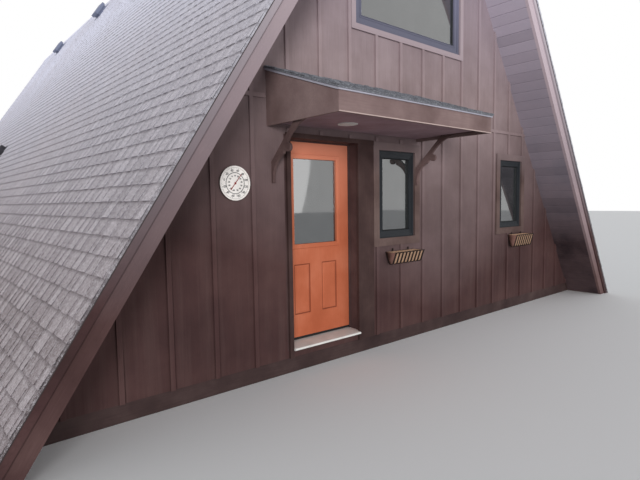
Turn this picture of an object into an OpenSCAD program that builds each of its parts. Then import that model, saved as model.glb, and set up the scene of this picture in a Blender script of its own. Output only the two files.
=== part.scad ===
// A-frame cabin: two steep roof slopes that stand on the ground, board-and-batten gable walls,
// a canopied entrance door that swings inward, casement windows and a picture window above.
// Millimetres. X runs along the entrance wall, +Y goes into the house, +Z is up.
// The origin is in the middle of the plan, at ground level.

/* [House] */
// Width across both roof slopes at the ground
house_w = 9144; // [8400:1:10400]
// Distance between the faces of the two gable walls
house_l = 16300; // [12000:10:20000]
// Slope of the roof above the horizontal, in degrees
roof_pitch = 56.65; // [55:0.05:59]
// Height of the ground floor's surface
floor_z = 225; // [200:1:260]
// Thickness of the ground floor's deck
deck_t = 60; // [40:1:80]
// Height of the upper floor's surface
upper_floor_z = 2825; // [2750:1:2950]
// Thickness of the upper floor
upper_floor_t = 250; // [200:1:300]
// Width of the sleepers under the ground floor
beam_w = 140; // [90:1:240]
// Thickness of a gable wall, with its siding
wall_t = 196; // [150:1:220]

/* [Siding] */
// Thickness of the siding sheets
siding_t = 12; // [9:1:16]
// Height of the siding's lower edge
siding_z = 150; // [120:1:155]
// Distance between battens
batten_pitch = 406.4; // [380:0.1:430]
// Place of the leftmost batten
batten_x = -3531; // [-3600:1:-3450]
// Width of a batten
batten_w = 40; // [30:1:50]
// Thickness of a batten
batten_t = 19; // [14:1:24]
// Height of the joint between lower and upper siding sheets
seam_z = 2602; // [2520:1:2640]
// Open joint between the sheets, behind the band
seam_gap = 6; // [3:1:10]

/* [Roof] */
// Thickness of the whole roof, square to the slope
roof_t = 195; // [180:1:230]
// Thickness of the boards under the roof
lining_t = 15; // [12:1:20]
// Thickness of the shingles and their deck
shingle_t = 15; // [12:1:20]
// Distance from a gable wall's face to the fascia's face
rake_out = 550; // [400:1:700]
// Thickness of the rake fascia
fascia_t = 38; // [30:1:45]
// Thickness of the trim board along the fascia's upper edge
rake_trim_t = 19; // [15:1:25]
// Width of that trim board
rake_trim_w = 62; // [45:1:80]
// How far the shingles reach past that trim board
shingle_lap = 10; // [5:1:20]
// Width of one side of the ridge cap
ridge_cap_w = 150; // [120:1:200]
// Thickness of the ridge cap
ridge_cap_t = 8; // [6:1:12]

/* [Vents] */
// Distance from the rear wall to the farther box vent
vent_rear = 2400; // [1500:10:3000]
// Distance between the two box vents
vent_pitch = 3950; // [3500:10:5000]
// Side of a box vent
vent_w = 340; // [280:1:400]
// Height of a box vent above the shingles
vent_h = 130; // [90:1:170]
// Distance of the box vents below the ridge, along the slope
vent_drop = 420; // [330:1:600]
// Distance from the entrance wall to the round vent
round_vent_y = 9450; // [9000:10:11000]
// Distance of the round vent below the ridge, along the slope
round_vent_drop = 4880; // [4500:10:5500]
// Diameter of the round vent
round_vent_d = 220; // [150:1:260]
// Height of the round vent above the shingles
round_vent_h = 110; // [80:1:150]

/* [Door] */
// Middle of the door
door_x = -1450; // [-1490:1:-1440]
// Width of the door leaf
door_w = 940; // [860:1:950]
// Height of the door leaf
door_h = 1985; // [1930:1:1995]
// Thickness of the door leaf
door_t = 44; // [40:1:50]
// Gap all round the door leaf
door_gap = 6; // [5:0.5:7]
// Thickness of the jambs and the head
jamb_t = 30; // [24:1:36]
// Width of the stop behind which the leaf closes
stop_w = 12; // [10:1:14]
// Thickness of the threshold at the leaf
sill_t = 32; // [26:1:40]
// How far the threshold stands out in front of the wall
sill_out = 50; // [30:1:70]
// Bevel of the leaf's free edge, towards its outer face
edge_bevel = 2; // [1:0.5:3]
// Width of the casing boards
casing_w = 46; // [40:1:90]
// How far the left casing board reaches over the opening between the jambs
left_casing_lap = 34; // [12:1:40]
// How far the right casing board reaches over it
right_casing_lap = 22; // [4:1:30]
// How far the head casing reaches over it
head_casing_lap = 2; // [0:1:10]
// Thickness of the casing boards
casing_t = 25; // [19:1:32]
// Thickness of the board between the casing and the nearest window's trim
filler_t = 19; // [12:1:22]
// Width of the door's glass in view
lite_w = 574; // [440:1:590]
// Distance from the glass to the leaf's upper edge
top_rail_h = 170; // [150:1:210]
// Distance from the leaf's lower edge to the glass
lite_z = 963; // [950:1:990]
// Width of the moulding round the glass
lite_trim_w = 40; // [36:1:48]
// How far that moulding stands out
lite_trim_t = 12; // [8:1:16]
// Width of a door panel with its sloping border
panel_w = 208; // [190:1:215]
// Height of a door panel with its sloping border
panel_h = 510; // [480:1:530]
// Distance from the leaf's lower edge to the panels
panel_z = 250; // [230:1:270]
// Distance between the two panels
mullion_w = 159; // [110:1:175]
// Depth of the panels' border
panel_sink = 9; // [6:1:12]

/* [Hinges and lock] */
// Number of hinges
hinge_n = 3; // [2:1:4]
// Length of a hinge
hinge_l = 100; // [80:1:120]
// Radius of a hinge knuckle
knuckle_r = 7; // [6:0.5:8]
// Radius of the hinge pin
pin_r = 3; // [2.5:0.1:3.5]
// Running clearance round the pin, and between knuckles
pin_clear = 0.05; // [0.03:0.01:0.1]
// Thickness of a hinge plate
plate_t = 2; // [1.5:0.1:2]
// Distance from the leaf's free edge to the knob's axis
backset = 60; // [60:1:70]
// Height of the knob above the leaf's lower edge
knob_z = 914; // [850:1:960]
// Radius of the knob
knob_r = 26; // [22:1:30]
// Height of the bolt's cylinder above the knob
bolt_rise = 140; // [110:1:160]
// Radius of the knob's rose
rose_r = 33; // [29:1:36]
// Radius of the bolt's cylinder
bolt_r = 29; // [24:1:33]

/* [Windows] */
// Width of the wall opening of a small window
win_w = 625; // [580:1:660]
// Height of the wall opening of a small window
win_h = 975; // [900:1:1000]
// Height of the small windows' lower edge
win_z = 1230; // [1200:1:1260]
// Middle of the small window beside the door
win1_x = -350; // [-360:1:-300]
// Middle of the small window near the corner
win2_x = 2228; // [2150:1:2250]
// Width of the trim boards round a small window
win_trim_w = 89; // [75:1:95]
// Width of the wall opening of the picture window
pic_w = 1890; // [1700:1:1950]
// Height of the wall opening of the picture window
pic_h = 1155; // [1000:1:1200]
// Height of the picture window's lower edge
pic_z = 3485; // [3450:1:3550]
// Middle of the picture window
pic_x = -60; // [-80:1:80]
// Width of the trim boards round the picture window
pic_trim_w = 62; // [50:1:70]
// Thickness of all window trim boards
win_trim_t = 22; // [19:1:28]
// Width of a window's outer frame
frame_w = 34; // [28:1:40]
// Width of a small window's sash
sash_w = 46; // [40:1:52]
// Width of the picture window's sash
pic_sash_w = 72; // [50:1:80]
// Thickness of the window glass
glass_t = 20; // [16:1:24]

/* [Canopy] */
// How far the canopy stands out from the wall
canopy_out = 950; // [850:1:1050]
// Distance between the canopy's lower edge and the higher of the head casing and the window's trim
canopy_gap = 38; // [10:1:60]
// Height of the canopy's front board
canopy_front_h = 145; // [120:1:170]
// Height of the canopy's side boards at the wall
canopy_back_h = 480; // [440:1:520]
// Thickness of the canopy's front and side boards
canopy_board_t = 25; // [19:1:32]
// Height of the canopy's soffit above its boards' lower edge
soffit_rise = 35; // [10:1:50]
// Thickness of the canopy's roof deck
canopy_deck_t = 34; // [28:1:40]
// Thickness of the canopy's shingles
canopy_shingle_t = 12; // [8:1:16]
// How far the canopy's shingles reach past its boards
canopy_lap = 20; // [12:1:28]
// Diameter of the lamp in the canopy's soffit
lamp_d = 190; // [150:1:220]
// Distance of the lamp from the door's middle, to the left
lamp_shift = 21; // [-60:1:60]
// Distance from the wall to the lamp's middle
lamp_out = 360; // [300:1:450]

/* [Brackets] */
// How far a bracket reaches out under the canopy
bracket_out = 830; // [780:1:860]
// Height of a bracket
bracket_h = 545; // [500:1:590]
// Thickness of a bracket
bracket_t = 30; // [24:1:46]
// Where the brace's straight inner edge meets the soffit
brace_out = 363; // [320:1:400]
// Height of the foot that lies against the wall
foot_h = 195; // [150:1:230]
// Thickness of the foot's lower end
foot_t = 18; // [12:1:26]
// Thickness of the tail under the soffit
tail_t = 12; // [8:1:20]
// Radius of the upper scallop
scallop_upper_r = 461; // [400:1:520]
// Radius of the lower scallop
scallop_lower_r = 230; // [200:1:300]
// Width of the brace at the upper scallop
neck_upper = 42; // [36:1:70]
// Width of the brace at the lower scallop
neck_lower = 58; // [48:1:80]
// Radius of the lobe between the scallops
lobe_r = 38; // [32:1:50]
// Distance of the lobe's centre from the brace's inner edge
lobe_out = 90; // [80:1:105]
// Distance of a bracket's middle from the canopy's end
bracket_inset = 58; // [46:1:80]
// Distance of the left bracket's middle from the door's casing
bracket_left_gap = 147; // [60:1:160]
// Distance of the right bracket's middle from the opening of the window beside it
bracket_right_gap = 18; // [16:1:66]

/* [Baskets] */
// Middle of the basket beside the door
basket1_x = -305; // [-330:1:-280]
// Height of that basket's rim above the ground
basket1_z = 1072; // [1040:1:1100]
// Depth of that basket
basket1_h = 138; // [125:1:190]
// Middle of the basket near the corner
basket2_x = 2405; // [2380:1:2430]
// Height of that basket's rim above the ground
basket2_z = 1118; // [1100:1:1135]
// Depth of that basket
basket2_h = 180; // [125:1:190]
// Length of a window basket
basket_l = 515; // [480:1:600]
// Distance that a basket stands out from the wall
basket_out = 152; // [140:1:180]
// Radius of a basket's round bottom
basket_bottom_r = 36; // [28:1:50]
// Number of ribs on a basket
rib_n = 9; // [7:1:12]
// Width of a rib
rib_w = 24; // [16:1:28]
// Thickness of a rib
rib_t = 4; // [3:1:6]
// Thickness of the fibre liner
liner_t = 12; // [9:1:15]

/* [Thermometer] */
// Diameter of the dial
dial_d = 298; // [280:1:320]
// Thickness of the dial
dial_t = 24; // [20:1:34]
// Middle of the dial along the wall
dial_x = -2498; // [-2510:1:-2490]
// Height of the dial's middle
dial_z = 1819; // [1700:1:1900]

/* [Hidden] */

// Walls and roof
front_y = -house_l / 2;
rear_y = house_l / 2;
inner_half = house_w / 2 - roof_t / sin(roof_pitch);
core_out = roof_t - shingle_t;
fascia_y = house_l / 2 + rake_out;
shingle_y = fascia_y + rake_trim_t + shingle_lap;
wall_top = seam_z;
skirt_top = floor_z - deck_t;
big = 4 * house_w;

// Door
leaf_z = floor_z + sill_t + door_gap;
leaf_y = front_y + wall_t - door_t;
leaf_hinge_x = door_x + door_w / 2;
lite_h = door_h - lite_z - top_rail_h;
jamb_half = door_w / 2 + door_gap;
head_z = leaf_z + door_h + door_gap;
rough_half = jamb_half + jamb_t;
rough_z = head_z + jamb_t;
left_casing_x = door_x - jamb_half + left_casing_lap - casing_w;
right_casing_end = door_x + jamb_half - right_casing_lap + casing_w;
head_casing_z = head_z - head_casing_lap;
casing_top = head_casing_z + casing_w;
filler_end = win1_x - win_w / 2 - win_trim_w;
hinge_x = leaf_hinge_x + door_gap / 2;
hinge_y = front_y + wall_t + knuckle_r;
hinge_first = 230;
hinge_step = (door_h - 2 * hinge_first) / (hinge_n - 1);
glass_pocket = 8;
door_glass_t = 20;

// Windows: [middle, lower edge, width, height, trim width, sash width]
small_windows = [
  [win1_x, win_z, win_w, win_h, win_trim_w, sash_w],
  [win2_x, win_z, win_w, win_h, win_trim_w, sash_w]
];
rear_windows = [
  [-win2_x, win_z, win_w, win_h, win_trim_w, sash_w],
  [win2_x, win_z, win_w, win_h, win_trim_w, sash_w]
];
picture_window = [pic_x, pic_z, pic_w, pic_h, pic_trim_w, pic_sash_w];
frame_depth = 90;
frame_setback = 4;
sash_setback = 12;
glass_setback = 34;

// Brackets: [middle, how far the seat stands out from the siding], left one and right one
bracket_places = [
  [left_casing_x - bracket_left_gap, 0],
  [win1_x + win_w / 2 + bracket_right_gap, win_trim_t]
];

// Canopy
canopy_x = bracket_places[0][0] - bracket_inset;
canopy_right = bracket_places[1][0] + bracket_inset;
canopy_w = canopy_right - canopy_x;
canopy_mid_x = (canopy_x + canopy_right) / 2;
canopy_z = max(casing_top, win_z + win_h + win_trim_w) + canopy_gap;
canopy_front = front_y - canopy_out;
canopy_fall = atan((canopy_back_h - canopy_front_h) / canopy_out);
soffit_z = canopy_z + soffit_rise;
soffit_t = 12;
canopy_top_back = canopy_z + canopy_back_h + (canopy_deck_t + canopy_shingle_t) / cos(canopy_fall);

// Baskets: [middle, rim, depth]
baskets = [[basket1_x, basket1_z, basket1_h], [basket2_x, basket2_z, basket2_h]];

// Fineness of round outlines
$fn = 48;

// Triangle under the roof's soffit line, moved outward by a distance square to the slope
module gable(out) {
  half = inner_half + out / sin(roof_pitch);
  polygon([[-half, 0], [half, 0], [0, half * tan(roof_pitch)]]);
}

// One layer of both slopes between two distances outward from the soffit line
module slopes(near, far) {
  difference() {
    gable(far);
    gable(near);
  }
}

// Left (-1) or right (+1) half of what is drawn
module half_plane(side) {
  intersection() {
    children();
    translate([side < 0 ? -big : 0, -1]) square([big, big]);
  }
}

// Band of what is drawn between two heights
module between(low, high) {
  intersection() {
    children();
    translate([-big / 2, low]) square([big, high - low]);
  }
}

// Outline in X and Z, given depth from one Y to another
module along_y(y0, y1) {
  translate([0, y1, 0]) rotate([90, 0, 0]) linear_extrude(y1 - y0) children();
}

// Outline in Y and Z, centred on one X
module across_x(x, width) {
  translate([x - width / 2, 0, 0]) rotate([90, 0, 90]) linear_extrude(width) children();
}

// Rectangle of a window's opening, grown all round
module window_hole(w, grow = 0) {
  translate([w[0] - w[2] / 2 - grow, w[1] - grow]) square([w[2] + 2 * grow, w[3] + 2 * grow]);
}

module window_holes(list, grow = 0) {
  for (w = list) window_hole(w, grow);
}

// Each window's opening together with its trim boards
module trimmed_holes(list) {
  for (w = list) window_hole(w, w[4]);
}

module door_hole() {
  translate([door_x - rough_half, floor_z]) square([2 * rough_half, rough_z - floor_z]);
}

// Copies a front piece to the rear wall, kept the same way round along X
module at_rear() {
  mirror([0, 1, 0]) children();
}

module skirts() {
  color("saddlebrown") for (s = [0, 1]) mirror([0, s, 0])
    along_y(front_y + siding_t, front_y + wall_t) between(0, skirt_top) gable(lining_t);
}

module floor_beams() {
  inside = house_l / 2 - wall_t;
  spread = 2200;
  color("peru") for (x = [-spread, 0, spread])
    translate([x - beam_w / 2, -inside, 0]) cube([beam_w, 2 * inside, skirt_top]);
}

module ground_floor() {
  color("burlywood") along_y(front_y + siding_t, rear_y - siding_t)
    between(skirt_top, floor_z) gable(lining_t);
}

module upper_floor() {
  color("burlywood") along_y(front_y + wall_t, rear_y - wall_t)
    between(upper_floor_z - upper_floor_t, upper_floor_z) gable(lining_t);
}

// Wall behind the siding, between two heights
module wall_core(low, high) {
  along_y(front_y + siding_t, front_y + wall_t) difference() {
    between(low, high) gable(lining_t);
    children();
  }
}

module front_wall_left() {
  color("tan") wall_core(floor_z, wall_top) translate([door_x - rough_half, 0]) square([big, big]);
}

module front_wall_head() {
  color("tan") along_y(front_y + siding_t, front_y + wall_t)
    translate([door_x - rough_half, rough_z]) square([2 * rough_half, wall_top - rough_z]);
}

module front_wall_right() {
  color("tan") wall_core(floor_z, wall_top) {
    translate([door_x + rough_half - big, 0]) square([big, big]);
    window_holes(small_windows);
  }
}

module front_gable_wall() {
  color("tan") wall_core(wall_top, big) window_hole(picture_window);
}

module rear_wall() {
  color("tan") at_rear() wall_core(floor_z, wall_top) window_holes(rear_windows);
}

module rear_gable_wall() {
  color("tan") at_rear() wall_core(wall_top, big) window_hole(picture_window);
}

// Lower and upper siding sheets of one wall, with their openings left out
module siding_sheets() {
  along_y(front_y, front_y + siding_t) {
    difference() {
      between(siding_z, seam_z - seam_gap / 2) gable(lining_t);
      children();
    }
    difference() {
      between(seam_z + seam_gap / 2, big) gable(lining_t);
      window_hole(picture_window);
    }
  }
}

module front_siding() {
  color([0.36, 0.28, 0.27]) siding_sheets() {
    door_hole();
    window_holes(small_windows);
  }
}

module rear_siding() {
  color([0.36, 0.28, 0.27]) at_rear() siding_sheets() window_holes(rear_windows);
}

// Battens of one wall, cut round what is drawn with it
module batten_run() {
  first = ceil((-inner_half - batten_x) / batten_pitch);
  last = floor((inner_half - batten_x) / batten_pitch);
  along_y(front_y - batten_t, front_y) difference() {
    intersection() {
      union() {
        between(siding_z, seam_z - batten_w / 2) gable(0);
        between(seam_z + batten_w / 2, big) gable(0);
      }
      for (k = [first:last])
        translate([batten_x + k * batten_pitch - batten_w / 2, 0]) square([batten_w, big]);
    }
    trimmed_holes([picture_window]);
    children();
  }
}

// Everything on the entrance wall that the battens and the band stop at
module front_fittings() {
  trimmed_holes(small_windows);
  translate([left_casing_x, 0]) square([filler_end - left_casing_x, casing_top]);
  translate([canopy_x - canopy_lap, canopy_z])
    square([canopy_w + 2 * canopy_lap, canopy_top_back - canopy_z]);
}

module battens() {
  color([0.38, 0.29, 0.28]) {
    batten_run() front_fittings();
    at_rear() batten_run() trimmed_holes(rear_windows);
  }
}

module seam_band() {
  along_y(front_y - batten_t, front_y) difference() {
    between(seam_z - batten_w / 2, seam_z + batten_w / 2) gable(0);
    children();
  }
}

module seam_bands() {
  color([0.38, 0.29, 0.28]) {
    seam_band() front_fittings();
    at_rear() seam_band() trimmed_holes(rear_windows);
  }
}

// Rafters and boards of one slope
module roof_core(side) {
  along_y(fascia_t - fascia_y, fascia_y - fascia_t) half_plane(side) slopes(lining_t, core_out);
}

module roof_left() {
  color("sienna") roof_core(-1);
}

module roof_right() {
  color("sienna") roof_core(1);
}

module shingle_layer(side) {
  along_y(-shingle_y, shingle_y) half_plane(side) slopes(core_out, roof_t);
}

module shingles_left() {
  color([0.6, 0.56, 0.57]) shingle_layer(-1);
}

module shingles_right() {
  color([0.6, 0.56, 0.57]) shingle_layer(1);
}

module ceiling() {
  color("wheat") along_y(front_y + wall_t, rear_y - wall_t) {
    between(floor_z, upper_floor_z - upper_floor_t) slopes(0, lining_t);
    between(upper_floor_z, big) slopes(0, lining_t);
  }
}

module soffits() {
  color([0.3, 0.22, 0.22]) for (s = [0, 1]) mirror([0, s, 0])
    along_y(fascia_t - fascia_y, front_y) slopes(0, lining_t);
}

module rake_fascia(side) {
  color([0.5, 0.4, 0.39]) for (s = [0, 1]) mirror([0, s, 0])
    along_y(-fascia_y, fascia_t - fascia_y) half_plane(side) slopes(0, core_out);
}

module rake_trim() {
  color([0.45, 0.36, 0.36]) for (s = [0, 1]) mirror([0, s, 0])
    along_y(-fascia_y - rake_trim_t, -fascia_y) slopes(core_out - rake_trim_w, core_out);
}

module ridge_cap() {
  top = (inner_half + roof_t / sin(roof_pitch)) * tan(roof_pitch);
  color([0.55, 0.51, 0.52]) along_y(-shingle_y, shingle_y)
    between(top - ridge_cap_w * sin(roof_pitch), big) slopes(roof_t, roof_t + ridge_cap_t);
}

// Places a piece on the left slope, at a distance down from the ridge, with +Z square to the slope
module on_left_slope(y, drop) {
  top = (inner_half + roof_t / sin(roof_pitch)) * tan(roof_pitch);
  seat = 0.05;
  translate([-drop * cos(roof_pitch), y, top - drop * sin(roof_pitch)])
    rotate([0, -roof_pitch, 0]) translate([0, 0, seat]) children();
}

module box_vent() {
  hood_lip = 25;
  hood_h = 70;
  collar_w = vent_w - 2 * hood_lip;
  translate([-collar_w / 2, -collar_w / 2, 0]) cube([collar_w, collar_w, vent_h - hood_h]);
  translate([-vent_w / 2, -vent_w / 2, vent_h - hood_h]) cube([vent_w, vent_w, hood_h]);
}

module roof_vents() {
  color([0.16, 0.15, 0.16]) {
    for (y = [vent_rear, vent_rear + vent_pitch]) on_left_slope(rear_y - y, vent_drop) box_vent();
    on_left_slope(front_y + round_vent_y, round_vent_drop)
      cylinder(d = round_vent_d, h = round_vent_h);
  }
}

// Jambs and head with the stop that the leaf closes against
module door_frame() {
  stop_y = leaf_y - door_gap;
  color([0.33, 0.25, 0.24]) {
    along_y(front_y, front_y + wall_t) difference() {
      translate([door_x - rough_half, floor_z]) square([2 * rough_half, rough_z - floor_z]);
      translate([door_x - jamb_half, 0]) square([2 * jamb_half, head_z]);
    }
    along_y(stop_y - stop_w, stop_y) difference() {
      translate([door_x - jamb_half, floor_z + sill_t])
        square([2 * jamb_half, head_z - floor_z - sill_t]);
      translate([door_x - jamb_half + stop_w, 0])
        square([2 * (jamb_half - stop_w), head_z - stop_w]);
    }
  }
}

// Casing boards, the head casing that runs on to the window's trim, and the board below it
module door_casing() {
  height = casing_top - siding_z;
  color([0.44, 0.35, 0.34]) {
    along_y(front_y - casing_t, front_y) {
      translate([left_casing_x, siding_z]) square([casing_w, height]);
      translate([right_casing_end - casing_w, siding_z]) square([casing_w, height]);
      translate([left_casing_x, head_casing_z]) square([filler_end - left_casing_x, casing_w]);
    }
    along_y(front_y - filler_t, front_y)
      translate([right_casing_end, siding_z])
        square([filler_end - right_casing_end, head_casing_z - siding_z]);
  }
}

// Threshold: a sloping board between the jambs, with a round nose between the casing boards
module door_sill() {
  nose_r = 12;
  front_drop = 14;
  nose_y = front_y - sill_out + nose_r;
  top_z = floor_z + sill_t;
  nose_top = top_z - front_drop;
  color([0.85, 0.84, 0.8]) difference() {
    across_x(door_x, 2 * jamb_half) {
      polygon([
        [nose_y, nose_top - 2 * nose_r],
        [front_y, nose_top - 2 * nose_r],
        [front_y, floor_z],
        [front_y + wall_t, floor_z],
        [front_y + wall_t, top_z],
        [leaf_y, top_z],
        [nose_y, nose_top]
      ]);
      translate([nose_y, nose_top - nose_r]) circle(nose_r);
    }
    for (x = [left_casing_x + casing_w - big, right_casing_end - casing_w])
      translate([x, front_y - big, 0]) cube([big, big, 2 * floor_z]);
  }
}

// Sloping border cut round one raised panel
module panel_border() {
  run = 30;
  step = 3;
  difference() {
    translate([-panel_w / 2, 0, -panel_sink]) cube([panel_w, panel_h, panel_sink + 1]);
    hull() {
      translate([-panel_w / 2 + step, step, -panel_sink - 1])
        cube([panel_w - 2 * step, panel_h - 2 * step, 1]);
      translate([-panel_w / 2 + run, run, -step])
        cube([panel_w - 2 * run, panel_h - 2 * run, 1]);
    }
  }
}

module door_leaf() {
  centre = (panel_w + mullion_w) / 2;
  color([0.77, 0.42, 0.3]) difference() {
    union() {
      translate([leaf_hinge_x, leaf_y, leaf_z]) linear_extrude(door_h) polygon([
        [edge_bevel - door_w, 0],
        [0, 0],
        [0, door_t],
        [-door_w, door_t]
      ]);
      for (y = [leaf_y - lite_trim_t, leaf_y + door_t])
        translate([door_x - lite_w / 2 - lite_trim_w, y, leaf_z + lite_z - lite_trim_w])
          cube([lite_w + 2 * lite_trim_w, lite_trim_t, lite_h + 2 * lite_trim_w]);
    }
    translate([door_x - lite_w / 2, leaf_y - door_t, leaf_z + lite_z])
      cube([lite_w, 3 * door_t, lite_h]);
    translate([
      door_x - lite_w / 2 - glass_pocket,
      leaf_y + (door_t - door_glass_t) / 2,
      leaf_z + lite_z - glass_pocket
    ]) cube([lite_w + 2 * glass_pocket, door_glass_t, lite_h + 2 * glass_pocket]);
    for (x = [-centre, centre]) {
      translate([door_x + x, leaf_y, leaf_z + panel_z]) rotate([90, 0, 0]) panel_border();
      translate([door_x + x, leaf_y + door_t, leaf_z + panel_z + panel_h])
        rotate([-90, 0, 0]) panel_border();
    }
    for (i = [0:hinge_n - 1])
      translate([leaf_hinge_x - plate_t, leaf_y + door_t / 4, hinge_low(i)])
        cube([2 * plate_t, door_t, hinge_l]);
  }
}

module door_glass() {
  play = 0.3;
  color([0.6, 0.7, 0.72, 0.4]) translate([
    door_x - lite_w / 2 - glass_pocket + play,
    leaf_y + (door_t - door_glass_t) / 2 + play,
    leaf_z + lite_z - glass_pocket + play
  ]) cube([
    lite_w + 2 * (glass_pocket - play),
    door_glass_t - 2 * play,
    lite_h + 2 * (glass_pocket - play)
  ]);
}

// Knob with its neck and rose, turned about the spindle
module knob() {
  rose_t = 8;
  neck_r = 12;
  neck_l = 22;
  ball_z = rose_t + neck_l + 12;
  face_z = ball_z + 22;
  rotate_extrude() {
    square([rose_r, rose_t]);
    square([neck_r, ball_z]);
    intersection() {
      translate([0, ball_z]) circle(knob_r);
      translate([0, rose_t]) square([knob_r, face_z - rose_t]);
    }
  }
}

module lock_cylinder() {
  ring_t = 8;
  plug_r = 20;
  plug_t = 14;
  rotate_extrude() {
    square([bolt_r, ring_t]);
    square([plug_r, plug_t]);
  }
}

// Places a piece on both faces of the leaf at the lock's height, with +Z away from the leaf
module on_both_faces(z) {
  translate([leaf_hinge_x - door_w + backset, leaf_y, leaf_z + z]) {
    rotate([90, 0, 0]) children();
    translate([0, door_t, 0]) rotate([-90, 0, 0]) children();
  }
}

module door_lockset() {
  color([0.55, 0.5, 0.42]) {
    on_both_faces(knob_z) knob();
    on_both_faces(knob_z + bolt_rise) lock_cylinder();
  }
}

// Height of the lower end of one hinge
function hinge_low(i) = leaf_z + hinge_first + i * hinge_step - hinge_l / 2;

// Three knuckles a hinge: the outer two and the pin stay on the jamb, the middle one turns
module hinges_on_jamb() {
  third = hinge_l / 3;
  color([0.6, 0.6, 0.6]) for (i = [0:hinge_n - 1]) translate([hinge_x, hinge_y, hinge_low(i)]) {
    for (z = [0, 2 * third]) {
      translate([0, 0, z]) cylinder(r = knuckle_r, h = third);
      translate([door_gap / 2 - plate_t / 2, -knuckle_r - door_t / 2, z])
        cube([plate_t / 2, knuckle_r + door_t / 2, third]);
    }
    cylinder(r = pin_r, h = hinge_l);
  }
}

module hinges_on_leaf() {
  third = hinge_l / 3;
  slack = 4 * pin_clear;
  color([0.6, 0.6, 0.6]) for (i = [0:hinge_n - 1]) translate([hinge_x, hinge_y, hinge_low(i)]) {
    difference() {
      union() {
        translate([0, 0, third + slack]) cylinder(r = knuckle_r, h = third - 2 * slack);
        translate([-door_gap / 2 - plate_t, -knuckle_r - door_t / 2, third + slack])
          cube([plate_t, knuckle_r + door_t / 2, third - 2 * slack]);
      }
      translate([0, 0, third]) cylinder(r = pin_r + pin_clear, h = third);
    }
  }
}

// Frame and sash of one window, with the pane's seat left open
module window_frame(w) {
  sash = frame_w + w[5];
  along_y(front_y + frame_setback, front_y + frame_depth) difference() {
    window_hole(w);
    window_hole(w, -frame_w);
  }
  along_y(front_y + sash_setback, front_y + frame_depth - sash_setback) difference() {
    window_hole(w, -frame_w);
    window_hole(w, -sash);
  }
}

module window_pane(w) {
  along_y(front_y + glass_setback, front_y + glass_setback + glass_t)
    window_hole(w, -frame_w - w[5]);
}

module window_boards(w) {
  along_y(front_y - win_trim_t, front_y) difference() {
    window_hole(w, w[4]);
    window_hole(w);
  }
}

module window_frames() {
  color([0.2, 0.23, 0.24]) {
    for (w = concat(small_windows, [picture_window])) window_frame(w);
    at_rear() for (w = concat(rear_windows, [picture_window])) window_frame(w);
  }
}

module window_glass() {
  color([0.6, 0.7, 0.72, 0.4]) {
    for (w = concat(small_windows, [picture_window])) window_pane(w);
    at_rear() for (w = concat(rear_windows, [picture_window])) window_pane(w);
  }
}

module window_trim() {
  color([0.42, 0.33, 0.32]) {
    for (w = concat(small_windows, [picture_window])) window_boards(w);
    at_rear() for (w = concat(rear_windows, [picture_window])) window_boards(w);
  }
}

// Side outline of the canopy under its deck, from the wall to the front
module canopy_side_outline() {
  polygon([
    [front_y, canopy_z],
    [front_y, canopy_z + canopy_back_h],
    [canopy_front, canopy_z + canopy_front_h],
    [canopy_front, canopy_z]
  ]);
}

// One sloping layer above the canopy's boards
module canopy_layer(near, far, lap) {
  rise = 1 / cos(canopy_fall);
  slope = tan(canopy_fall);
  front = canopy_front - lap;
  low = canopy_z + canopy_front_h - lap * slope;
  high = canopy_z + canopy_back_h;
  across_x(canopy_mid_x, canopy_w + 2 * lap) polygon([
    [front_y, high + near * rise],
    [front_y, high + far * rise],
    [front, low + far * rise],
    [front, low + near * rise]
  ]);
}

module canopy_roof() {
  color([0.4, 0.32, 0.3]) canopy_layer(0, canopy_deck_t, 0);
}

module canopy_shingles() {
  color([0.42, 0.46, 0.5])
    canopy_layer(canopy_deck_t, canopy_deck_t + canopy_shingle_t, canopy_lap);
}

module canopy_fascia() {
  color([0.42, 0.33, 0.31]) {
    for (x = [canopy_x + canopy_board_t / 2, canopy_right - canopy_board_t / 2])
      across_x(x, canopy_board_t) canopy_side_outline();
    across_x(canopy_mid_x, canopy_w - 2 * canopy_board_t) intersection() {
      canopy_side_outline();
      translate([canopy_front, 0]) square([canopy_board_t, big]);
    }
  }
}

module canopy_soffit() {
  color([0.33, 0.26, 0.26])
    translate([canopy_x + canopy_board_t, canopy_front + canopy_board_t, soffit_z])
      cube([canopy_w - 2 * canopy_board_t, canopy_out - canopy_board_t, soffit_t]);
}

module canopy_lamp() {
  trim_t = 6;
  lens_r = lamp_d / 2 - 18;
  lens_sink = 3;
  color("white") translate([door_x - lamp_shift, front_y - lamp_out, soffit_z]) mirror([0, 0, 1])
    rotate_extrude() difference() {
      square([lamp_d / 2, trim_t]);
      translate([-1, trim_t - lens_sink]) square([lens_r + 1, lens_sink + 1]);
    }
}

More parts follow.
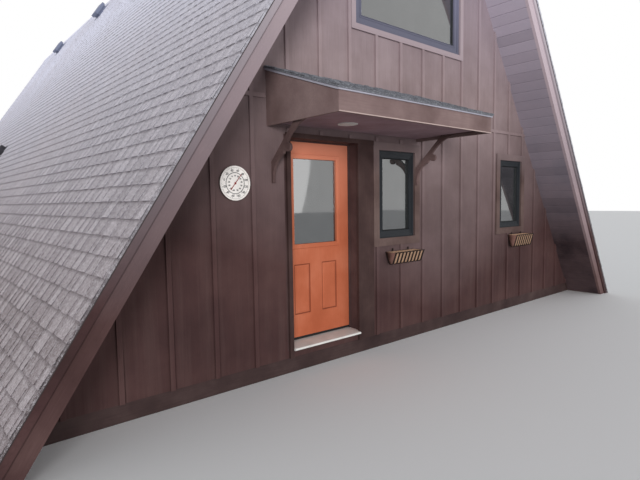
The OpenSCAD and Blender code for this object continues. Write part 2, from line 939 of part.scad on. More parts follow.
// Bracket seen from the side: X runs out from its seat and Y down from the soffit.
// A brace with a straight inner edge and two scallops, which meet at a round lobe.
module bracket_outline() {
  brace_drop = bracket_h - foot_h;
  brace_l = norm([brace_out, brace_drop]);
  along = [-brace_out, brace_drop] / brace_l;
  outward = [brace_drop, brace_out] / brace_l;
  start = [brace_out, 0];
  upper_c = start + 0.3 * brace_l * along + (neck_upper + scallop_upper_r) * outward;
  lower_c = start + 0.86 * brace_l * along + (neck_lower + scallop_lower_r) * outward;
  lobe_c = start + 0.5 * brace_l * along + lobe_out * outward;
  translate([brace_out, 0]) square([bracket_out - brace_out, tail_t]);
  translate([0, brace_drop]) square([foot_t, foot_h]);
  translate(lobe_c) circle(lobe_r);
  difference() {
    polygon([
      start,
      [upper_c[0], 0],
      [upper_c[0], tail_t],
      lobe_c + 0.6 * lobe_r * outward,
      [foot_t, bracket_h],
      [0, bracket_h],
      [0, brace_drop]
    ]);
    translate(upper_c) circle(scallop_upper_r, $fn = 160);
    translate(lower_c) circle(scallop_lower_r, $fn = 120);
  }
}

module canopy_brackets() {
  color([0.36, 0.28, 0.27]) for (b = bracket_places)
    translate([0, front_y - b[1], soffit_z]) across_x(b[0], bracket_t)
      mirror([1, 0]) mirror([0, 1]) bracket_outline();
}

// Outline of a basket of a given depth, hanging under its rim, grown or shrunk.
// Two straight sides lean inwards from the rim until they touch the round bottom.
module trough_outline(basket_h, grow) {
  r = basket_bottom_r + grow;
  centre = [0, basket_bottom_r - basket_h];
  half = basket_out / 2;
  lean = acos(basket_bottom_r / norm([half, centre[1]])) - atan(-centre[1] / half);
  touch = centre + r * [cos(lean), -sin(lean)];
  rim = touch[0] - touch[1] * tan(lean);
  translate([-half, 0]) {
    translate(centre) circle(r);
    polygon([[-rim, 0], [-touch[0], touch[1]], centre, touch, [rim, 0]]);
  }
}

// Places a piece on the battens' faces at a basket's middle and rim
module at_basket(b) {
  translate([b[0], front_y - batten_t, b[1]]) children();
}

module basket_frames() {
  rim_h = 8;
  color([0.13, 0.12, 0.12]) for (b = baskets) at_basket(b) {
    for (i = [0:rib_n - 1])
      across_x((i / (rib_n - 1) - 0.5) * (basket_l - rib_w), rib_w) difference() {
        trough_outline(b[2], 0);
        trough_outline(b[2], -rib_t);
      }
    for (y = [-basket_out, -rib_t])
      translate([-basket_l / 2, y, -rim_h]) cube([basket_l, rib_t, rim_h]);
  }
}

module basket_liners() {
  seat = 0.3;
  end_play = 2;
  outer = rib_t + seat;
  liner_l = basket_l - 2 * end_play;
  color([0.62, 0.47, 0.33]) for (b = baskets) at_basket(b) difference() {
    across_x(0, liner_l) trough_outline(b[2], -outer);
    across_x(0, liner_l - 2 * liner_t) translate([0, 1]) trough_outline(b[2], -outer - liner_t);
  }
}

module thermometer() {
  rim_w = 9;
  face_sink = 6;
  color("white") translate([dial_x, front_y, dial_z]) rotate([90, 0, 0]) rotate_extrude($fn = 96)
    difference() {
      square([dial_d / 2, dial_t]);
      translate([-1, dial_t - face_sink]) square([dial_d / 2 - rim_w + 1, face_sink + 1]);
    }
}

skirts();
floor_beams();
ground_floor();
upper_floor();
front_wall_left();
front_wall_head();
front_wall_right();
front_gable_wall();
rear_wall();
rear_gable_wall();
front_siding();
rear_siding();
battens();
seam_bands();
roof_left();
roof_right();
shingles_left();
shingles_right();
ceiling();
soffits();
rake_fascia(-1);  // rake_fascia_left
rake_fascia(1);  // rake_fascia_right
rake_trim();
ridge_cap();
roof_vents();
door_frame();
door_casing();
door_sill();
door_leaf();
door_glass();
door_lockset();
hinges_on_jamb();
hinges_on_leaf();
window_frames();
window_glass();
window_trim();
canopy_roof();
canopy_shingles();
canopy_fascia();
canopy_soffit();
canopy_lamp();
canopy_brackets();
basket_frames();
basket_liners();
thermometer();
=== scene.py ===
"""A-frame cabin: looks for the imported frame. Metres, in the part's own frame."""
import math
import random

import bpy
from mathutils import Matrix, Vector

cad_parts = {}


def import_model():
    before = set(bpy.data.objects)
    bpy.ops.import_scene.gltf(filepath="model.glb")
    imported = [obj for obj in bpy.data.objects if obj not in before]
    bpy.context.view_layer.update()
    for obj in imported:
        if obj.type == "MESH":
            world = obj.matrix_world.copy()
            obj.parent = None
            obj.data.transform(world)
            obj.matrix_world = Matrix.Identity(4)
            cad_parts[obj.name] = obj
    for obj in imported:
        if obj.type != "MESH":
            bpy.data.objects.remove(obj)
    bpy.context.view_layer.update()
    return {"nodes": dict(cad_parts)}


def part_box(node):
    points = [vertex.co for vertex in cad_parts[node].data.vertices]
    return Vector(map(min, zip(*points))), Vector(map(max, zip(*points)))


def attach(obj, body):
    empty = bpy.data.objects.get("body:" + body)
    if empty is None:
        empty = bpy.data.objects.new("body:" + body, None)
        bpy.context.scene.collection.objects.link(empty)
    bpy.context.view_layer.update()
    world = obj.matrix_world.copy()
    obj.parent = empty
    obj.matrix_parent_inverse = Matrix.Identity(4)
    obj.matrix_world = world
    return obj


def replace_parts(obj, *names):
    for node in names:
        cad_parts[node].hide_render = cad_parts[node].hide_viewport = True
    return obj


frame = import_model()
NODES = frame["nodes"]

# Driving sizes of what is only modelled here
CLEAR = 0.0005
COURSE = 0.143
COURSE_LAP = 0.004
SHINGLE_LENGTH = 0.985
SHINGLE_JOINT = 0.0015
STRIP_BUTT = 0.005
STRIP_TOP = 0.001
TAB_WIDTHS = (0.05, 0.15)
TAB_GAPS = (0.025, 0.10)
TAB_BUTT = 0.0115
TAB_TOP = 0.0028
TAB_BASE = 0.0006
TAB_DROP = 0.007
TAB_SKEW = 0.003
CAP_REACH = 0.148
CAP_LAP = 0.01
CAP_BUTT = 0.007
CAP_TOP = 0.002
EDGE_DROP = 0.02
EDGE_THICK = 0.012
SOFFIT_BOARD = 0.141
SOFFIT_THICK = 0.015
SOFFIT_GROOVE = 0.006
NAIL_PITCH = 0.3
NAIL_RADIUS = 0.0045
FLASHING_REACH = 0.05
LOUVRES = 7
FOLD_DEPTH = 0.01
FOLD_THICK = 0.0015
PANEL_WIDTH = 0.208
PANEL_HEIGHT = 0.51
PANEL_LOW = 0.25
PANEL_APART = 0.367
STRIP_HALF = 0.004
LINER_WALL = 0.012
LINER_SKIN = 0.001

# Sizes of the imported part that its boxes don't give
FASCIA_THICK = 0.038
SHINGLE_SKIN = 0.015
LITE_TRIM = 0.012
LITE_POCKET = 0.0077
SASH_FACE = 0.022
BASKET_BOTTOM = 0.0317
DIAL_FACE = 0.006

# First and last reading of the dial in degrees Fahrenheit, and the angle of its pointer from the X axis
DIAL_FIRST = -60
DIAL_LAST = 160
POINTER_ANGLE = 51

# Specular level of matt surfaces
MATT = 0.1


# Places taken from the frame

def islands(node):
    """Boxes (low, high) of the separate solids of a CAD node, sorted by X, then Z, then Y."""
    mesh = NODES[node].data
    keys = [tuple(round(c, 5) for c in v.co) for v in mesh.vertices]
    parent = {key: key for key in keys}

    def find(key):
        while parent[key] != key:
            parent[key] = parent[parent[key]]
            key = parent[key]
        return key

    for poly in mesh.polygons:
        first = find(keys[poly.vertices[0]])
        for v in poly.vertices[1:]:
            parent[find(keys[v])] = first
    solids = {}
    for key in parent:
        solids.setdefault(find(key), []).append(key)
    boxes = []
    for points in solids.values():
        spans = list(zip(*points))
        boxes.append((Vector([min(s) for s in spans]), Vector([max(s) for s in spans])))
    return sorted(boxes, key=lambda b: (round(b[0].x, 3), round(b[0].z, 3), b[0].y))


SKIN_LOW, SKIN_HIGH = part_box("shingles_left")
HALF_WIDTH = -SKIN_LOW.x
RIDGE_Z = SKIN_HIGH.z
PITCH = math.atan2(RIDGE_Z, HALF_WIDTH)
SLOPE = math.hypot(RIDGE_Z, HALF_WIDTH)
ROOF_FRONT = SKIN_LOW.y
ROOF_REAR = SKIN_HIGH.y
WALL_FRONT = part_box("front_siding")[0].y
WALL_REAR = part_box("rear_siding")[1].y


# Mesh building

def new_object(name, data):
    """An object with the given data, in the scene."""
    made = bpy.data.objects.new(name, data)
    bpy.context.scene.collection.objects.link(made)
    return made


class Builder:
    """Collects closed solids with a tone each, and turns them into one object."""

    def __init__(self):
        self.points = []
        self.faces = []
        self.tones = []

    def add(self, points, faces, tone=0.5):
        start = len(self.points)
        self.points.extend(tuple(p) for p in points)
        self.faces.extend(tuple(start + i for i in f) for f in faces)
        self.tones.extend([tone] * len(faces))

    def solid(self, lower, upper, tone=0.5, side_tone=None):
        """Between two equal lists of corners, counter-clockwise seen from the upper ones."""
        n = len(lower)
        faces = [tuple(range(n - 1, -1, -1)), tuple(range(n, 2 * n))]
        for i in range(n):
            j = (i + 1) % n
            faces.append((i, j, n + j, n + i))
        self.add(lower + upper, faces, tone)
        if side_tone is not None:
            self.tones[-n:] = [side_tone] * n

    def prism(self, outline, place, start, end, tone=0.5):
        """A closed outline, counter-clockwise in the place's X and Y, from one Z to another."""
        lower, upper = ([place @ Vector((x, y, z)) for x, y in outline] for z in (start, end))
        self.solid(lower, upper, tone)

    def box(self, low, high, place=Matrix()):
        (x0, y0, z0), (x1, y1, z1) = low, high
        self.prism([(x0, y0), (x1, y0), (x1, y1), (x0, y1)], place, z0, z1)

    def lathe(self, profile, place, sides=24):
        """A profile of (radius, height) from the axis back to the axis, turned about the place's Z."""
        rings = []
        points = []
        for radius, height in profile:
            count = 1 if radius < 1e-6 else sides
            rings.append(range(len(points), len(points) + count))
            for k in range(count):
                a = 2 * math.pi * k / sides
                points.append(place @ Vector((radius * math.cos(a), radius * math.sin(a), height)))
        faces = []
        for lower, upper in zip(rings, rings[1:]):
            n, m = len(lower), len(upper)
            for k in range(sides):
                j = (k + 1) % sides
                corners = dict.fromkeys((lower[k % n], lower[j % n], upper[j % m], upper[k % m]))
                if len(corners) > 2:
                    faces.append(tuple(corners))
        self.add(points, faces)

    def frame(self, low, high, profile, place):
        """A mitred frame round a rectangle in the place's X and Y. The closed profile is (outward, Z)."""
        corners = [(low[0], low[1]), (high[0], low[1]), (high[0], high[1]), (low[0], high[1])]
        ways = [(-1, -1), (1, -1), (1, 1), (-1, 1)]
        rows = [
            [place @ Vector((x + sx * out, y + sy * out, z)) for out, z in profile]
            for (x, y), (sx, sy) in zip(corners, ways)
        ]
        self.loop(rows)

    def loop(self, rows):
        """Equal closed sections, joined one to the next and the last to the first."""
        n = len(rows[0])
        faces = []
        for c in range(len(rows)):
            d = (c + 1) % len(rows)
            for i in range(n):
                j = (i + 1) % n
                faces.append((c * n + i, d * n + i, d * n + j, c * n + j))
        self.add([p for row in rows for p in row], faces)

    def ring(self, section, place, sides=96):
        """A closed section of (radius, height) turned once round the place's Z."""
        rows = []
        for k in range(sides):
            a = 2 * math.pi * k / sides
            rows.append([place @ Vector((r * math.cos(a), r * math.sin(a), z)) for r, z in section])
        self.loop(rows)

    def tube(self, path, radius, sides=8):
        """A round bar along a path of points, with flat ends."""
        points = []
        for i, p in enumerate(path):
            ahead = path[min(i + 1, len(path) - 1)] - path[max(i - 1, 0)]
            side = ahead.cross(Vector((1, 0, 0)))
            if side.length < 1e-6:
                side = ahead.cross(Vector((0, 1, 0)))
            side.normalize()
            over = ahead.normalized().cross(side)
            for k in range(sides):
                a = 2 * math.pi * k / sides
                points.append(p + radius * (math.cos(a) * side + math.sin(a) * over))
        faces = [tuple(range(sides - 1, -1, -1))]
        for row in range(0, (len(path) - 1) * sides, sides):
            for k in range(sides):
                j = (k + 1) % sides
                faces.append((row + k, row + j, row + sides + j, row + sides + k))
        faces.append(tuple(range(len(points) - sides, len(points))))
        self.add(points, faces)

    def finish(self, name, look, body="house", smooth=False):
        mesh = bpy.data.meshes.new(name)
        mesh.from_pydata(self.points, [], self.faces)
        mesh.validate()
        tone = mesh.attributes.new("tone", "FLOAT", "FACE")
        tone.data.foreach_set("value", self.tones[: len(mesh.polygons)])
        mesh.materials.append(look.material)
        if smooth:
            mesh.shade_smooth()
        piece = new_object(name, mesh)
        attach(piece, body)
        return piece


def place_at(origin, x_axis, y_axis):
    """Matrix of a place with the given origin, X and Y directions."""
    x = Vector(x_axis).normalized()
    y = Vector(y_axis).normalized()
    z = x.cross(y)
    m = Matrix((x, y, z)).transposed().to_4x4()
    m.translation = Vector(origin)
    return m


def wall_place(x, y, z, turn):
    """Place on a wall: X to the right and Y up as seen from outside, Z outward. turn is -1 at the rear."""
    return place_at((x, y, z), (turn, 0, 0), (0, 0, 1))


def slope_axes(side):
    """Directions up a slope of the roof and out of it. side is -1 on the left."""
    up = Vector((-side * math.cos(PITCH), 0, math.sin(PITCH)))
    return up, Vector((side * math.sin(PITCH), 0, math.cos(PITCH)))


def front_top(node):
    """Height of a sloping node's upper edge at its front."""
    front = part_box(node)[0].y + 0.001
    return max(v.co.z for v in NODES[node].data.vertices if v.co.y < front)


# Materials

def srgb(red, green, blue):
    """Linear colour of an 8-bit sRGB one."""
    def linear(c):
        c = c / 255
        return c / 12.92 if c <= 0.04045 else ((c + 0.055) / 1.055) ** 2.4
    return (linear(red), linear(green), linear(blue), 1.0)


class Material:
    """A node material with short calls for the usual procedural layers."""

    def __init__(self, name, roughness=0.6, metallic=0.0, specular=0.5):
        self.material = bpy.data.materials.new(name)
        self.material.use_nodes = True
        self.tree = self.material.node_tree
        self.shader = self.tree.nodes["Principled BSDF"]
        self.feed(
            self.shader, {"Roughness": roughness, "Metallic": metallic, "Specular IOR Level": specular})
        self.coords = self.tree.nodes.new("ShaderNodeTexCoord").outputs["Object"]

    def feed(self, node, inputs):
        """Gives each of the named or numbered sockets a plain value, or links another node's to it."""
        for key, value in inputs.items():
            if isinstance(value, bpy.types.NodeSocket):
                self.tree.links.new(value, node.inputs[key])
            else:
                node.inputs[key].default_value = value

    def node(self, kind, inputs, **settings):
        made = self.tree.nodes.new(kind)
        for key, value in settings.items():
            setattr(made, key, value)
        self.feed(made, inputs)
        return made

    def stretched(self, scale, rotation=(0, 0, 0)):
        """Object coordinates, turned and then scaled."""
        turned = self.node("ShaderNodeMapping", {"Vector": self.coords, "Rotation": rotation})
        return self.node("ShaderNodeMapping", {"Vector": turned.outputs[0], "Scale": scale}).outputs[0]

    def noise(self, scale, detail=3.0, roughness=0.5, vector=None, distortion=0.0):
        inputs = {"Vector": vector or self.coords, "Scale": scale, "Detail": detail,
                  "Roughness": roughness, "Distortion": distortion}
        return self.node("ShaderNodeTexNoise", inputs).outputs["Fac"]

    def attribute(self, name):
        return self.node("ShaderNodeAttribute", {}, attribute_name=name).outputs["Fac"]

    def ramp(self, factor, *stops):
        made = self.node("ShaderNodeValToRGB", {"Fac": factor})
        while len(made.color_ramp.elements) < len(stops):
            made.color_ramp.elements.new(0.5)
        for element, (position, colour) in zip(made.color_ramp.elements, stops):
            element.position = position
            element.color = colour
        return made.outputs["Color"]

    def mix(self, factor, first, second, blend="MIX"):
        inputs = {0: factor, 6: first, 7: second}
        return self.node("ShaderNodeMix", inputs, data_type="RGBA", blend_type=blend).outputs[2]

    def map(self, value, low, high, to_low=0.0, to_high=1.0):
        inputs = {0: value, 1: low, 2: high, 3: to_low, 4: to_high}
        return self.node("ShaderNodeMapRange", inputs).outputs[0]

    def math(self, operation, first, second=0.0):
        return self.node("ShaderNodeMath", {0: first, 1: second}, operation=operation).outputs[0]

    def place(self, axis):
        """X, Y or Z (0, 1 or 2) of the object coordinates."""
        return self.node("ShaderNodeSeparateXYZ", {0: self.coords}).outputs[axis]

    def height(self):
        return self.place(2)

    def colour(self, value):
        self.feed(self.shader, {"Base Color": value})

    def roughness(self, value, low, high):
        self.feed(self.shader, {"Roughness": self.map(value, 0.3, 0.7, low, high)})

    def bump(self, *layers):
        """Layers of (height, distance in metres), stacked."""
        below = {}
        for value, distance in layers:
            inputs = {"Strength": 1.0, "Distance": distance, "Height": value, **below}
            below = {"Normal": self.node("ShaderNodeBump", inputs).outputs["Normal"]}
        self.feed(self.shader, below)


def painted_wood(
    name, tones, grain, rotation=(0, 0, 0), roughness=0.62, weather=1.0, painted_light=None, painted_light_heights=(0.3, 3.8),
    boards=0.0
):
    """Painted wood: grain along the axis with the small scale, blotches, dust and worn patches.

    tones are its dark, main and light colours. The colour given for high up is painted light, paler for the
    light that falls on the upper parts, and the heights given with it are where it sets in and ends. boards
    is how far the darkest board of a mesh with tones goes toward the dark colour.
    """
    m = Material(name, roughness=roughness, specular=MATT)
    dark, main, light = (srgb(*tone) for tone in tones)
    fine = m.noise(1.0, detail=6, roughness=0.6, vector=m.stretched(grain, rotation), distortion=0.4)
    blotch = m.noise(2.2, detail=4, roughness=0.55)
    patch = m.noise(9.0, detail=5, roughness=0.65)
    base = m.ramp(blotch, (0.3, dark), (0.5, main), (0.72, light))
    grained = m.mix(m.map(fine, 0.35, 0.7, 0.0, 0.35), base, dark)
    worn = m.mix(m.map(patch, 0.62, 0.8, 0.0, 0.3 * weather), grained, light)
    # Painted light: the colour turns paler with height, for the light that falls on the upper parts
    if painted_light:
        worn = m.mix(m.map(m.height(), *painted_light_heights, 0.0, 0.85), worn, srgb(*painted_light))
    if boards:
        worn = m.mix(m.map(m.attribute("tone"), 0.0, 1.0, boards, 0.0), worn, dark)
    m.colour(worn)
    m.roughness(patch, roughness - 0.08, roughness + 0.12)
    m.bump((fine, 0.0012), (patch, 0.0006))
    return m


def siding_material(name, gain=1.0):
    """Rough-sawn sheets: vertical saw marks and rain streaks, with painted light and shade: darker low
    down, paler high up.

    Painted shade also darkens the sheets toward the eaves, where the roof slopes shade them, up to the
    canopy's height. gain scales all the colours.
    """
    m = Material(name, roughness=0.68, specular=MATT)
    saw = m.noise(1.0, detail=6, roughness=0.65, vector=m.stretched((240, 240, 3.5)), distortion=0.3)
    streak = m.noise(1.0, detail=4, roughness=0.6, vector=m.stretched((14, 14, 0.55)))
    blotch = m.noise(1.3, detail=5, roughness=0.6)
    # low holds the darker colours and high the paler ones: painted shade low down, painted light high up
    low = m.ramp(blotch, (0.3, srgb(62, 43, 43)), (0.52, srgb(74, 52, 51)), (0.75, srgb(87, 63, 61)))
    high = m.ramp(
        blotch, (0.3, srgb(138, 120, 120)), (0.52, srgb(154, 136, 137)), (0.75, srgb(168, 150, 151)))
    # Painted shade toward the eaves, below the canopy's height, where the roof slopes shade the wall
    eave_shade = m.math("MULTIPLY", m.math("ABSOLUTE", m.math("SUBTRACT", m.place(0), 0.5)), 0.33)
    below_canopy = m.map(m.height(), 2.2, 3.0, 1.0, 0.0)
    lit_height = m.math("SUBTRACT", m.height(), m.math("MULTIPLY", eave_shade, below_canopy))
    base = m.mix(m.map(lit_height, 0.2, 3.0), low, high)
    # Painted light: paler and bluer toward the top of the wall
    painted_light = m.mix(m.map(m.height(), 3.0, 5.0, 0.0, 0.8), base, srgb(160, 148, 162))
    streaked = m.mix(m.map(streak, 0.45, 0.75, 0.0, 0.14), painted_light, srgb(128, 108, 104))
    sawn = m.mix(m.map(saw, 0.4, 0.7, 0.0, 0.2), streaked, srgb(54, 40, 42))
    m.colour(m.mix(1.0, sawn, (gain, gain, gain, 1), blend="MULTIPLY"))
    m.roughness(streak, 0.6, 0.8)
    m.bump((saw, 0.0012), (blotch, 0.001))
    return m


def shingle_material(name, tints, fleck_light, fleck_dark, rise):
    """Mineral granules with one tone a tab and dark cut edges, and a darker band at the top of each
    exposure that is partly the shingles' printed band and partly painted shadow of the course above.

    tints are the dark, middle and light tabs and the paler colour painted high up as painted light. rise is
    the height between two courses.
    """
    m = Material(name, roughness=0.92, specular=MATT)
    shady, middle, light, pale = (srgb(*tint) for tint in tints)
    bright, dim = srgb(*fleck_light), srgb(*fleck_dark)
    granules = m.node("ShaderNodeTexVoronoi", {"Vector": m.coords, "Scale": 420})
    coarse = m.noise(60, detail=4, roughness=0.7)
    stain = m.noise(0.5, detail=4, roughness=0.6)
    scuff = m.noise(45, detail=6, roughness=0.75)
    cut = srgb(58, 50, 52)
    tab = m.ramp(m.attribute("tone"), (0.0, cut), (0.06, shady), (0.5, middle), (1.0, light))
    speckle = m.mix(m.map(coarse, 0.35, 0.7, 0.0, 0.5), tab, shady)
    fleck = m.node("ShaderNodeSeparateColor", {0: granules.outputs["Color"]})
    lit = m.mix(m.map(fleck.outputs[0], 0.72, 0.9, 0.0, 0.55), speckle, bright)
    dark = m.mix(m.map(fleck.outputs[1], 0.7, 0.9, 0.0, 0.6), lit, dim)
    # Painted light: paler higher up the roof
    painted_light = m.mix(m.map(m.height(), 0.8, 5.7, 0.0, 0.92), dark, pale)
    weathered = m.mix(m.map(stain, 0.45, 0.75, 0.0, 0.25), painted_light, light)
    scuffed = m.mix(m.map(scuff, 0.5, 0.63, 0.0, 0.3), weathered, dim)
    rubbed = m.mix(m.map(scuff, 0.49, 0.37, 0.0, 0.3), scuffed, bright)
    # Darker band under each butt: partly the shingles' printed band, partly painted shadow cast by the
    # course above
    course = m.math("FRACT", m.math("DIVIDE", m.height(), rise))
    m.colour(m.mix(m.map(course, 0.78, 0.97, 0.0, 0.45), rubbed, dim))
    m.bump((granules.outputs["Distance"], 0.0012), (coarse, 0.0015))
    return m


def metal(
    name, tone, roughness, scratch=(60, 60, 60), depth=0.0002, metallic=0.0, specular=0.3, painted_light=None,
    painted_light_heights=(2.4, 4.2)
):
    """Metal, coated metal or plastic with broad tone changes and fine scratches.

    The colour given for high up is painted light, paler for the light that falls on the upper parts, and
    the heights given with it are where it sets in and ends.
    """
    m = Material(name, roughness=roughness, metallic=metallic, specular=specular)
    colour = srgb(*tone)
    wear = m.noise(1.0, detail=5, roughness=0.6, vector=m.stretched(scratch))
    broad = m.noise(7, detail=3)
    darker = tuple(0.72 * c for c in colour[:3]) + (1.0,)
    worn = m.mix(m.map(broad, 0.35, 0.7, 0.0, 0.5), colour, darker)
    # Painted light: paler with height, for the light that falls on the upper parts
    m.colour(m.mix(m.map(m.height(), *painted_light_heights), worn, srgb(*painted_light)) if painted_light else worn)
    m.roughness(wear, max(0.05, roughness - 0.12), min(1.0, roughness + 0.15))
    m.bump((wear, depth))
    return m


def glass_material(name):
    """A dark reflecting pane that lets the room behind show."""
    m = Material(name, roughness=0.02)
    smear = m.noise(5, detail=5, roughness=0.7)
    m.colour(m.mix(m.map(smear, 0.4, 0.8), (0.02, 0.024, 0.025, 1), (0.05, 0.055, 0.055, 1)))
    m.feed(m.shader, {"Roughness": m.map(smear, 0.3, 0.8, 0.01, 0.06), "Alpha": 0.8, "IOR": 2.7,
                      "Coat Weight": 1.0, "Coat Roughness": 0.02})
    return m


def board_material(name, tints, grain, board, axis):
    """Varnished boards of one width across the given axis."""
    m = Material(name, roughness=0.5)
    dark, middle, light = (srgb(*tint) for tint in tints)
    fine = m.noise(1.0, detail=6, roughness=0.6, vector=m.stretched(grain), distortion=0.5)
    scaled = m.math("DIVIDE", m.place(axis), board)
    own = m.node("ShaderNodeTexWhiteNoise", {"W": m.math("FLOOR", scaled)}, noise_dimensions="1D")
    base = m.ramp(own.outputs["Value"], (0.0, dark), (0.5, middle), (1.0, light))
    grained = m.mix(m.map(fine, 0.4, 0.7, 0.0, 0.5), base, dark)
    joint = m.map(m.math("FRACT", scaled), 0.0, 0.03)
    m.colour(m.mix(joint, srgb(60, 44, 32), grained))
    m.bump((joint, 0.002), (fine, 0.0004))
    return m


def fibre_material(name):
    """Pressed coconut fibre: tangled strands in warm browns, with painted shade on the faces whose tone is
    0.
    """
    m = Material(name, roughness=0.95, specular=MATT)
    strands = m.noise(1.0, detail=8, roughness=0.7, vector=m.stretched((260, 90, 140)), distortion=2.5)
    cross = m.noise(1.0, detail=8, roughness=0.7, vector=m.stretched((90, 240, 300)), distortion=2.0)
    clump = m.noise(16, detail=4)
    base = m.ramp(strands, (0.3, srgb(132, 98, 76)), (0.5, srgb(188, 152, 124)), (0.7, srgb(218, 186, 158)))
    second = m.ramp(cross, (0.35, srgb(120, 88, 70)), (0.6, srgb(200, 164, 136)))
    pale = m.mix(m.map(clump, 0.3, 0.7, 0.2, 0.7), base, second)
    # Painted shade: a darker copy of the fibre for the trough's ends
    painted_shade = m.mix(1.0, pale, srgb(182, 168, 186), blend="MULTIPLY")
    m.colour(m.mix(m.attribute("tone"), painted_shade, pale))
    m.bump((strands, 0.004), (cross, 0.003))
    return m


# Where a paler colour and its heights are given, it is painted light: the colour turns paler high up, for
# the light that falls on the upper parts
SIDING = siding_material("siding_sawn")
BATTEN = siding_material("batten_paint", gain=1.12)
TRIM = painted_wood(
    "trim_boards", ((82, 65, 62), (101, 83, 79), (120, 101, 96)), (90, 90, 4),
    painted_light=(178, 162, 168), painted_light_heights=(1.9, 3.6))
CASING = painted_wood("casing_boards", ((54, 39, 38), (70, 53, 51), (86, 67, 64)), (90, 90, 4))
SOFFIT = painted_wood(
    "soffit_boards", ((50, 40, 43), (78, 63, 65), (94, 76, 77)), (70, 4, 70),
    painted_light=(214, 204, 220), painted_light_heights=(0.9, 4.8), boards=0.2)
CANOPY_SOFFIT = painted_wood(
    "canopy_soffit", ((140, 115, 121), (158, 132, 139), (174, 148, 154)), (4, 70, 70))
# Both rake boards have one paint in two copies: the left darker as painted shade, the right lighter as
# painted light
FASCIA_PAINTED_SHADE = painted_wood(
    "rake_board_left_painted_shade", ((66, 46, 45), (80, 58, 57), (94, 71, 69)), (4, 80, 80),
    rotation=(0, PITCH, 0), painted_light=(204, 188, 195), painted_light_heights=(0.9, 4.4))
FASCIA_PAINTED_LIGHT = painted_wood(
    "rake_board_right_painted_light", ((92, 70, 69), (112, 89, 87), (128, 104, 102)), (4, 80, 80),
    rotation=(0, -PITCH, 0), painted_light=(208, 192, 200))
RAKE_TRIM = painted_wood(
    "rake_trim", ((58, 40, 40), (72, 50, 50), (88, 64, 63)), (30, 80, 30),
    painted_light=(208, 198, 206), painted_light_heights=(1.0, 4.4))
CANOPY_BOARD = painted_wood(
    "canopy_board", ((108, 88, 86), (130, 109, 107), (148, 127, 124)), (4, 80, 80))
BRACKET = painted_wood("bracket_paint", ((80, 62, 61), (100, 80, 78), (120, 98, 96)), (60, 60, 60))
SHINGLE = shingle_material(
    "roof_granules", ((132, 120, 120), (170, 157, 159), (202, 191, 194), (240, 241, 255)),
    (236, 232, 238), (82, 72, 74), COURSE * math.sin(PITCH))
CANOPY_SHINGLE = shingle_material(
    "canopy_granules", ((104, 106, 114), (132, 134, 142), (156, 158, 166), (150, 154, 162)),
    (186, 188, 194), (60, 62, 70), COURSE * 0.12)
ROUGH_TIMBER = painted_wood("sawn_timber", ((96, 72, 52), (132, 102, 76), (158, 128, 98)), (60, 4, 60))
SKIRT = painted_wood("skirt_boards", ((52, 40, 40), (68, 53, 52), (84, 68, 66)), (4, 60, 60))
JAMB = painted_wood("jamb_paint", ((64, 48, 48), (80, 61, 60), (98, 78, 76)), (80, 80, 4))
WALL_LINING = painted_wood(
    "wall_lining", ((198, 192, 180), (212, 206, 194), (222, 217, 206)), (3, 3, 3), weather=0.3)
FLOOR_BOARDS = board_material(
    "floor_boards", ((126, 90, 58), (160, 120, 82), (182, 142, 102)), (60, 3, 60), 0.14, 0)
CEILING_BOARDS = board_material(
    "ceiling_boards", ((140, 104, 68), (172, 134, 94), (192, 156, 114)), (60, 3, 60), 0.12, 2)
DOOR = painted_wood(
    "door_paint", ((174, 92, 62), (190, 105, 74), (202, 120, 90)), (120, 120, 4),
    roughness=0.42, weather=0.4, painted_light=(232, 148, 120), painted_light_heights=(1.3, 2.5))
# Painted shade for the panel grooves: a darker copy of the door's paint
GROOVE_PAINTED_SHADE = painted_wood(
    "door_groove_painted_shade", ((122, 62, 43), (134, 70, 49), (148, 80, 57)), (120, 120, 4), roughness=0.6)
SILL = metal("sill_coating", (234, 233, 229), 0.45, scratch=(8, 90, 90))
GLASS = glass_material("double_glazing")
WINDOW_METAL = metal(
    "charcoal_coat", (42, 45, 49), 0.45, specular=0.2, painted_light=(118, 118, 138))
RUBBER = metal("glazing_rubber", (24, 25, 26), 0.7)
LOCK = metal("satin_lock", (150, 140, 122), 0.32, scratch=(200, 20, 200), metallic=1.0)
HINGE = metal("satin_steel", (165, 165, 163), 0.35, metallic=1.0)
IRON = metal("black_iron", (34, 24, 21), 0.6, scratch=(90, 90, 90), depth=0.0005, specular=0.2)
FIBRE = fibre_material("coco_fibre")
DIAL = metal("dial_enamel", (244, 238, 233), 0.3)
INK = metal("dial_ink", (40, 42, 46), 0.5)
POINTER = metal("pointer_red", (140, 34, 36), 0.4)
# Dark colour of the dial's side: partly its own colour, partly painted shade round the dial
HOUSING_AND_SHADE = metal("dial_housing", (66, 54, 52), 0.45)
CANOPY_EDGE = metal("canopy_edge", (176, 174, 186), 0.6, scratch=(30, 30, 90))
CANOPY_DRIP = metal("canopy_drip", (190, 168, 162), 0.5)
LAMP = metal("lamp_white", (232, 231, 228), 0.4)
VENT = metal("vent_paint", (52, 50, 56), 0.6, painted_light=(120, 126, 148), painted_light_heights=(3.5, 6.0))
DRIP_EDGE = metal("drip_edge", (62, 52, 52), 0.45)

